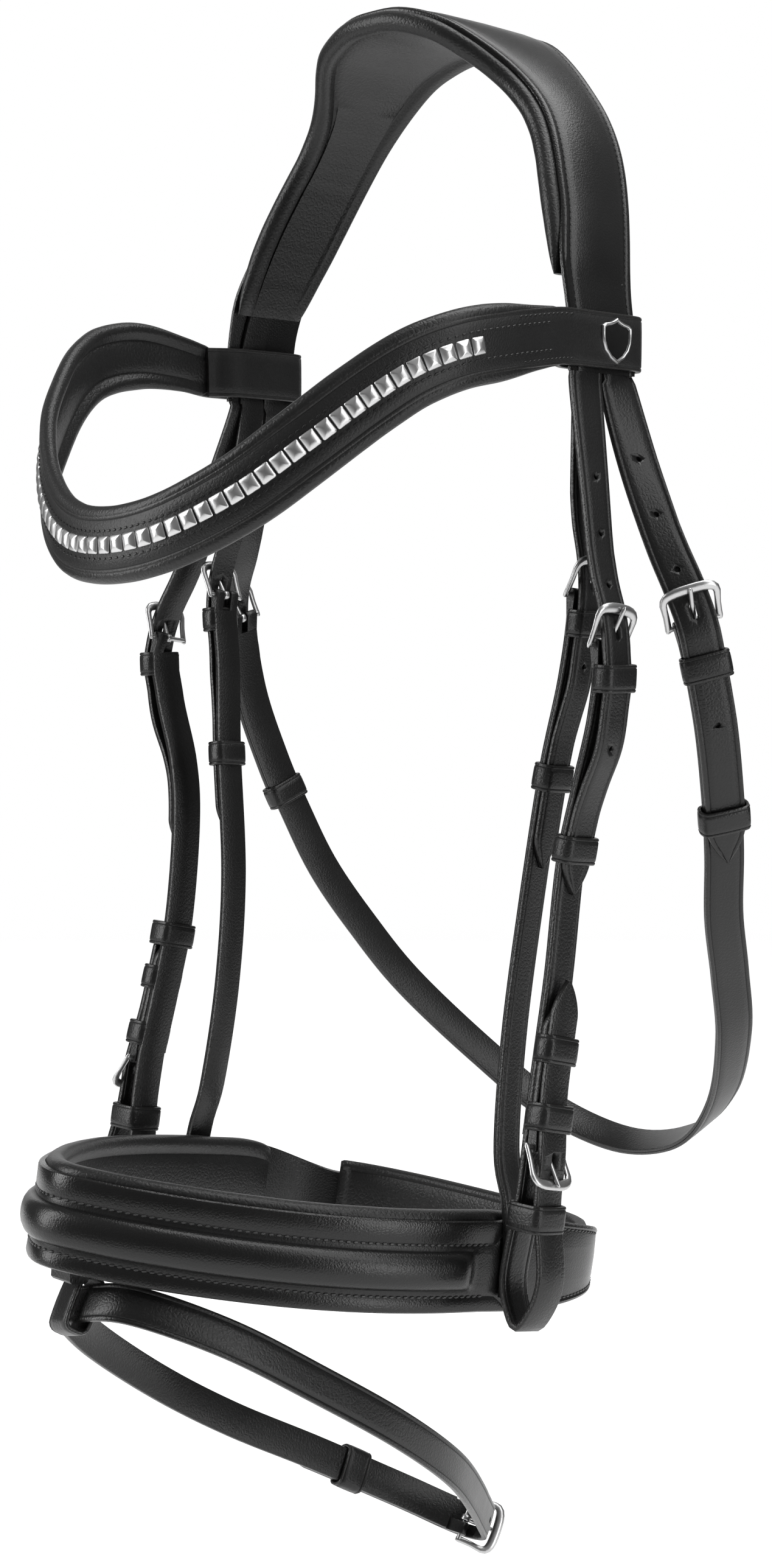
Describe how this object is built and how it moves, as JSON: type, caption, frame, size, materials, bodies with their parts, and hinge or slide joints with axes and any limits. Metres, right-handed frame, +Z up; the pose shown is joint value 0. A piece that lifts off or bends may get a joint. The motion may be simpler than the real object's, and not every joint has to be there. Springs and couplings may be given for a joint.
{
  "type": "snaffle bridle",
  "caption": "Black leather snaffle bridle with a padded anatomical crown, a V browband with metal plates, a flash noseband and a throatlash.",
  "frame": {"origin": "underside of the crown's padding at its middle, where it rests behind the horse's ears", "axes": "+X towards the horse's near (left) side, -Y towards the nose, +Z up"},
  "size_m": [0.2988, 0.3626, 0.6846],
  "materials": {
    "leather": "satin black strap leather",
    "lining": "soft padded black leather",
    "steel": "polished silver-coloured metal"
  },
  "bodies": {
    "headpiece": {"crown_leather": "leather", "crown_padding": "lining", "noseband_headstrap": "leather"},
    "browband": {"browband_leather": "leather", "browband_padding": "lining", "clincher_plates": "steel", "browband_badge": "steel"},
    "near_cheekpiece": {"near_cheek_billet": "leather", "near_cheek_strap": "leather", "near_cheek_keepers": "leather", "near_cheek_buckle": "steel", "near_bit_buckle": "steel"},
    "far_cheekpiece": {"far_cheek_billet": "leather", "far_cheek_strap": "leather", "far_cheek_keepers": "leather", "far_cheek_buckle": "steel", "far_bit_buckle": "steel"},
    "noseband": {"noseband_leather": "leather", "noseband_padding": "lining", "chin_padding": "lining", "chin_buckle": "steel", "chin_keepers": "leather", "near_noseband_billet": "leather", "near_noseband_strap": "leather", "near_noseband_keeper": "leather", "near_noseband_buckle": "steel", "far_noseband_billet": "leather", "far_noseband_strap": "leather", "far_noseband_keeper": "leather", "far_noseband_buckle": "steel", "flash_tab": "leather"},
    "throatlash": {"throatlash_strap": "leather", "near_throat_billet": "leather", "far_throat_billet": "leather", "throatlash_keepers": "leather", "near_throat_buckle": "steel", "far_throat_buckle": "steel"},
    "flash": {"flash_strap": "leather", "flash_keeper": "leather", "flash_buckle": "steel"},
    "near_cheek_tongue": {"near_cheek_tongue": "steel"},
    "near_bit_tongue": {"near_bit_tongue": "steel"},
    "near_noseband_tongue": {"near_noseband_tongue": "steel"},
    "near_throat_tongue": {"near_throat_tongue": "steel"},
    "far_cheek_tongue": {"far_cheek_tongue": "steel"},
    "far_bit_tongue": {"far_bit_tongue": "steel"},
    "far_noseband_tongue": {"far_noseband_tongue": "steel"},
    "far_throat_tongue": {"far_throat_tongue": "steel"},
    "chin_tongue": {"chin_tongue": "steel"},
    "flash_tongue": {"flash_tongue": "steel"},
    "near_cheek_runner": {"near_cheek_runner": "leather"},
    "near_noseband_runner": {"near_noseband_runner": "leather"},
    "near_throat_runner": {"near_throat_runner": "leather"},
    "far_cheek_runner": {"far_cheek_runner": "leather"},
    "far_noseband_runner": {"far_noseband_runner": "leather"},
    "far_throat_runner": {"far_throat_runner": "leather"}
  },
  "joints": [
    {"name": "browband_slide", "type": "slide", "parent": "headpiece", "child": "browband", "axis": [0, 0, 1], "range_m": [-0.002, 0.003]},
    {"name": "near_cheekpiece_swing", "type": "hinge", "parent": "headpiece", "child": "near_cheekpiece", "pos_m": [0.103, -0.0105, -0.1507], "axis": [0, -1, 0], "range_deg": [0, 12]},
    {"name": "far_cheekpiece_swing", "type": "hinge", "parent": "headpiece", "child": "far_cheekpiece", "pos_m": [-0.103, -0.0105, -0.1507], "axis": [0, 1, 0], "range_deg": [0, 12]},
    {"name": "noseband_swing", "type": "hinge", "parent": "headpiece", "child": "noseband", "pos_m": [0, -0.008, -0.1505], "axis": [1, 0, 0], "range_deg": [-6, 6]},
    {"name": "throatlash_swing", "type": "hinge", "parent": "headpiece", "child": "throatlash", "pos_m": [0, 0.0105, -0.1505], "axis": [1, 0, 0], "range_deg": [-8, 8]},
    {"name": "flash_swing", "type": "hinge", "parent": "noseband", "child": "flash", "pos_m": [0, -0.19, -0.51], "axis": [1, 0, 0], "range_deg": [-10, 6]},
    {"name": "near_cheek_tongue_hinge", "type": "hinge", "parent": "near_cheekpiece", "child": "near_cheek_tongue", "pos_m": [0.133, -0.032, -0.255], "axis": [0.0235, 0.9901, -0.1385], "range_deg": [0, 15]},
    {"name": "near_bit_tongue_hinge", "type": "hinge", "parent": "near_cheekpiece", "child": "near_bit_tongue", "pos_m": [0.12325, -0.056, -0.44987], "axis": [-0.0067, -0.9769, 0.2136], "range_deg": [0, 15]},
    {"name": "near_noseband_tongue_hinge", "type": "hinge", "parent": "noseband", "child": "near_noseband_tongue", "pos_m": [0.108, -0.018, -0.235], "axis": [0.0006, 0.9962, -0.0871], "range_deg": [0, 15]},
    {"name": "near_throat_tongue_hinge", "type": "hinge", "parent": "throatlash", "child": "near_throat_tongue", "pos_m": [0.137, 0.018, -0.246], "axis": [0.603, 0.7452, 0.2848], "range_deg": [0, 15]},
    {"name": "far_cheek_tongue_hinge", "type": "hinge", "parent": "far_cheekpiece", "child": "far_cheek_tongue", "pos_m": [-0.133, -0.032, -0.255], "axis": [0.0235, -0.9901, 0.1385], "range_deg": [0, 15]},
    {"name": "far_bit_tongue_hinge", "type": "hinge", "parent": "far_cheekpiece", "child": "far_bit_tongue", "pos_m": [-0.12325, -0.056, -0.44987], "axis": [-0.0067, 0.9769, -0.2136], "range_deg": [0, 15]},
    {"name": "far_noseband_tongue_hinge", "type": "hinge", "parent": "noseband", "child": "far_noseband_tongue", "pos_m": [-0.108, -0.018, -0.235], "axis": [0.0006, -0.9962, 0.0871], "range_deg": [0, 15]},
    {"name": "far_throat_tongue_hinge", "type": "hinge", "parent": "throatlash", "child": "far_throat_tongue", "pos_m": [-0.137, 0.018, -0.246], "axis": [0.0502, -0.9737, -0.222], "range_deg": [0, 15]},
    {"name": "chin_tongue_hinge", "type": "hinge", "parent": "noseband", "child": "chin_tongue", "pos_m": [-0.00402, 0.04431, -0.52223], "axis": [0, -0.1959, -0.9806], "range_deg": [0, 15]},
    {"name": "flash_tongue_hinge", "type": "hinge", "parent": "flash", "child": "flash_tongue", "pos_m": [0.002, 0.03, -0.659], "axis": [-0.0838, 0.5865, 0.8056], "range_deg": [0, 15]},
    {"name": "near_cheek_runner_slide", "type": "slide", "parent": "near_cheekpiece", "child": "near_cheek_runner", "axis": [-0.1145, -0.1116, -0.9871], "range_m": [-0.005, 0.005]},
    {"name": "near_noseband_runner_slide", "type": "slide", "parent": "noseband", "child": "near_noseband_runner", "axis": [-0.14, -0.0863, -0.9864], "range_m": [-0.005, 0.005]},
    {"name": "near_throat_runner_slide", "type": "slide", "parent": "throatlash", "child": "near_throat_runner", "axis": [-0.1807, 0.3404, -0.9228], "range_m": [-0.005, 0.005]},
    {"name": "far_cheek_runner_slide", "type": "slide", "parent": "far_cheekpiece", "child": "far_cheek_runner", "axis": [-0.0194, -0.2132, -0.9768], "range_m": [-0.005, 0.005]},
    {"name": "far_noseband_runner_slide", "type": "slide", "parent": "noseband", "child": "far_noseband_runner", "axis": [0.14, -0.0863, -0.9864], "range_m": [-0.005, 0.005]},
    {"name": "far_throat_runner_slide", "type": "slide", "parent": "throatlash", "child": "far_throat_runner", "axis": [0.2001, 0.3452, -0.917], "range_m": [-0.005, 0.005]}
  ]
}
